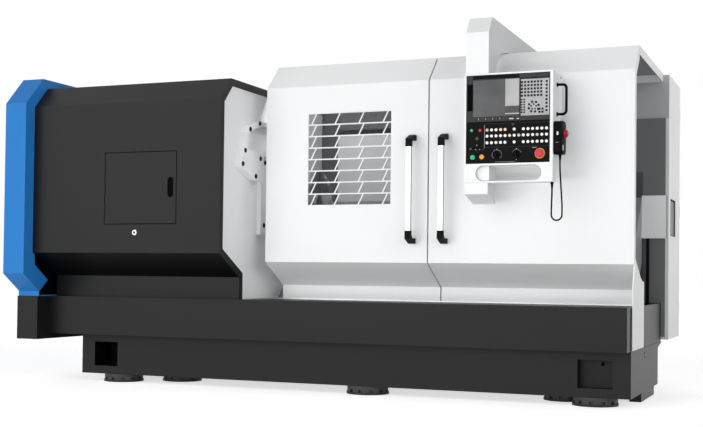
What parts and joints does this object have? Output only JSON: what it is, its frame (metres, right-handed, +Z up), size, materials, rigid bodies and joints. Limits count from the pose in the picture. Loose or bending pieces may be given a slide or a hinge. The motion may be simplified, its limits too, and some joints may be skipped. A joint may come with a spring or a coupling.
{
  "type": "cnc turning lathe",
  "caption": "Large slant-bed CNC turning lathe with full enclosure, sliding doors, swivelling control pendant, chuck, turret and tailstock inside.",
  "frame": {"origin": "on the floor, under the middle of the whole machine's box", "axes": "+X from the headstock to the tailstock end, +Y to the back of the machine, +Z up"},
  "size_m": [3.488, 1.97, 1.924],
  "materials": {
    "white_paint": "semi-gloss powder coat",
    "dark_paint": "satin fine-texture powder coat",
    "blue_paint": "satin powder coat",
    "grey_paint": "satin paint",
    "light_grey_paint": "satin paint",
    "cast_grey": "painted casting",
    "bright_steel": "ground",
    "dark_steel": "blackened",
    "chrome_steel": "polished",
    "window_glass": "tinted clear sheet",
    "guard_white": "satin powder coat",
    "black_plastic": "moulded, fine grain",
    "panel_black": "matt film",
    "screen": "satin display film",
    "key_white": "matt keys",
    "red_plastic": "moulded, smooth",
    "yellow_plastic": "moulded, smooth",
    "green_plastic": "moulded, smooth",
    "cable_rubber": "matt jacket"
  },
  "bodies": {
    "machine_frame": {"bed_base": "grey_paint", "front_beam": "grey_paint", "coolant_tray": "grey_paint", "leveling_mounts": "dark_steel", "slant_bed": "cast_grey", "guide_rails": "bright_steel", "headstock_casting": "cast_grey", "spindle_motor": "dark_paint", "headstock_cover": "dark_paint", "headstock_end_panel": "white_paint", "chuck_side_guard": "white_paint", "end_cover": "blue_paint", "end_cover_foot": "dark_paint", "door_rails": "bright_steel", "roof_panel": "white_paint", "rear_wall": "dark_paint", "rear_cabinet": "light_grey_paint", "side_box": "light_grey_paint", "drain_pipe": "black_plastic", "pendant_arm": "white_paint"},
    "spindle_line": {"spindle": "bright_steel", "chuck_body": "bright_steel", "chuck_cylinder": "dark_steel"},
    "jaw_one": {"chuck_jaw_1": "dark_steel"},
    "jaw_two": {"chuck_jaw_2": "dark_steel"},
    "jaw_three": {"chuck_jaw_3": "dark_steel"},
    "access_door": {"access_door": "dark_paint"},
    "cover_lock": {"cover_lock": "chrome_steel"},
    "carriage": {"carriage_saddle": "cast_grey"},
    "cross_slide": {"cross_slide": "cast_grey"},
    "turret": {"turret_disc": "bright_steel", "tool_holders": "dark_steel"},
    "tailstock": {"tailstock_body": "cast_grey"},
    "quill": {"tailstock_quill": "bright_steel"},
    "left_door": {"left_door": "white_paint", "left_door_glass": "window_glass", "left_window_guard": "guard_white", "left_handle_bar": "white_paint", "left_handle_caps": "black_plastic"},
    "right_door": {"right_door": "white_paint", "right_handle_bar": "white_paint", "right_handle_caps": "black_plastic"},
    "cabinet_door_left": {"cabinet_door_left": "light_grey_paint"},
    "cabinet_door_right": {"cabinet_door_right": "light_grey_paint"},
    "pendant": {"pendant_housing": "white_paint", "control_panel": "panel_black", "display_screen": "screen", "key_caps": "key_white", "estop_ring": "yellow_plastic", "pendant_handle": "black_plastic", "handwheel_unit": "black_plastic", "handwheel_cable": "cable_rubber"},
    "estop_button": {"estop_button": "red_plastic"},
    "cycle_start_button": {"cycle_start_button": "green_plastic"},
    "feed_hold_button": {"feed_hold_button": "yellow_plastic"},
    "power_on_button": {"power_on_button": "green_plastic"},
    "power_off_button": {"power_off_button": "red_plastic"},
    "feed_override_knob": {"feed_override_knob": "black_plastic"},
    "rapid_override_knob": {"rapid_override_knob": "black_plastic"},
    "handwheel_dial": {"handwheel_dial": "red_plastic"}
  },
  "joints": [
    {"name": "spindle_turn", "type": "hinge", "parent": "machine_frame", "child": "spindle_line", "pos_m": [-0.4, -0.08, 1.05], "axis": [1, 0, 0], "continuous": true},
    {"name": "jaw_one_slide", "type": "slide", "parent": "spindle_line", "child": "jaw_one", "axis": [0, 0, 1], "range_m": [-0.008, 0.008]},
    {"name": "jaw_two_slide", "type": "slide", "parent": "spindle_line", "child": "jaw_two", "axis": [0, -0.866, -0.5], "range_m": [-0.008, 0.008]},
    {"name": "jaw_three_slide", "type": "slide", "parent": "spindle_line", "child": "jaw_three", "axis": [0, 0.866, -0.5], "range_m": [-0.008, 0.008]},
    {"name": "carriage_slide", "type": "slide", "parent": "machine_frame", "child": "carriage", "axis": [1, 0, 0], "range_m": [-0.38, 0.48]},
    {"name": "cross_slide_travel", "type": "slide", "parent": "carriage", "child": "cross_slide", "axis": [0, 0.7071, 0.7071], "range_m": [-0.16, 0.06]},
    {"name": "turret_index", "type": "hinge", "parent": "cross_slide", "child": "turret", "pos_m": [0.38, 0.1392, 1.2692], "axis": [1, 0, 0], "continuous": true},
    {"name": "tailstock_slide", "type": "slide", "parent": "machine_frame", "child": "tailstock", "axis": [1, 0, 0], "range_m": [-0.43, 0.05]},
    {"name": "quill_slide", "type": "slide", "parent": "tailstock", "child": "quill", "axis": [1, 0, 0], "range_m": [-0.1, 0]},
    {"name": "left_door_slide", "type": "slide", "parent": "machine_frame", "child": "left_door", "axis": [1, 0, 0], "range_m": [-0.06, 0]},
    {"name": "right_door_slide", "type": "slide", "parent": "machine_frame", "child": "right_door", "axis": [1, 0, 0], "range_m": [0, 0.48]},
    {"name": "access_door_hinge", "type": "hinge", "parent": "machine_frame", "child": "access_door", "pos_m": [-1.122, -0.9085, 1.093], "axis": [0, 0, -1], "range_deg": [0, 110]},
    {"name": "cover_lock_turn", "type": "hinge", "parent": "machine_frame", "child": "cover_lock", "pos_m": [-0.925, -0.907, 0.849], "axis": [0, 1, 0], "range_deg": [0, 90]},
    {"name": "cabinet_door_left_hinge", "type": "hinge", "parent": "machine_frame", "child": "cabinet_door_left", "pos_m": [-0.294, 0.979, 1.039], "axis": [0, 0, 1], "range_deg": [0, 115]},
    {"name": "cabinet_door_right_hinge", "type": "hinge", "parent": "machine_frame", "child": "cabinet_door_right", "pos_m": [1.738, 0.979, 1.039], "axis": [0, 0, -1], "range_deg": [0, 115]},
    {"name": "pendant_swivel", "type": "hinge", "parent": "machine_frame", "child": "pendant", "pos_m": [0.915, -0.797, 1.36], "axis": [0, 0, -1], "range_deg": [0, 60]},
    {"name": "estop_push", "type": "slide", "parent": "pendant", "child": "estop_button", "axis": [0, 1, 0], "range_m": [0, 0.005]},
    {"name": "cycle_start_push", "type": "slide", "parent": "pendant", "child": "cycle_start_button", "axis": [0, 1, 0], "range_m": [0, 0.004], "stiffness_N_per_m": 300},
    {"name": "feed_hold_push", "type": "slide", "parent": "pendant", "child": "feed_hold_button", "axis": [0, 1, 0], "range_m": [0, 0.004], "stiffness_N_per_m": 300},
    {"name": "power_on_push", "type": "slide", "parent": "pendant", "child": "power_on_button", "axis": [0, 1, 0], "range_m": [0, 0.004], "stiffness_N_per_m": 300},
    {"name": "power_off_push", "type": "slide", "parent": "pendant", "child": "power_off_button", "axis": [0, 1, 0], "range_m": [0, 0.004], "stiffness_N_per_m": 300},
    {"name": "feed_override_turn", "type": "hinge", "parent": "pendant", "child": "feed_override_knob", "pos_m": [1.08, -0.815, 1.229], "axis": [0, 1, 0], "range_deg": [-150, 150]},
    {"name": "rapid_override_turn", "type": "hinge", "parent": "pendant", "child": "rapid_override_knob", "pos_m": [1.179, -0.815, 1.229], "axis": [0, 1, 0], "range_deg": [-60, 60]},
    {"name": "handwheel_turn", "type": "hinge", "parent": "pendant", "child": "handwheel_dial", "pos_m": [1.41, -0.76, 1.326], "axis": [1, 0, 0], "continuous": true}
  ],
  "couplings": [
    {"joint": "jaw_two_slide", "follows": "jaw_one_slide", "ratio": 1},
    {"joint": "jaw_three_slide", "follows": "jaw_one_slide", "ratio": 1}
  ]
}
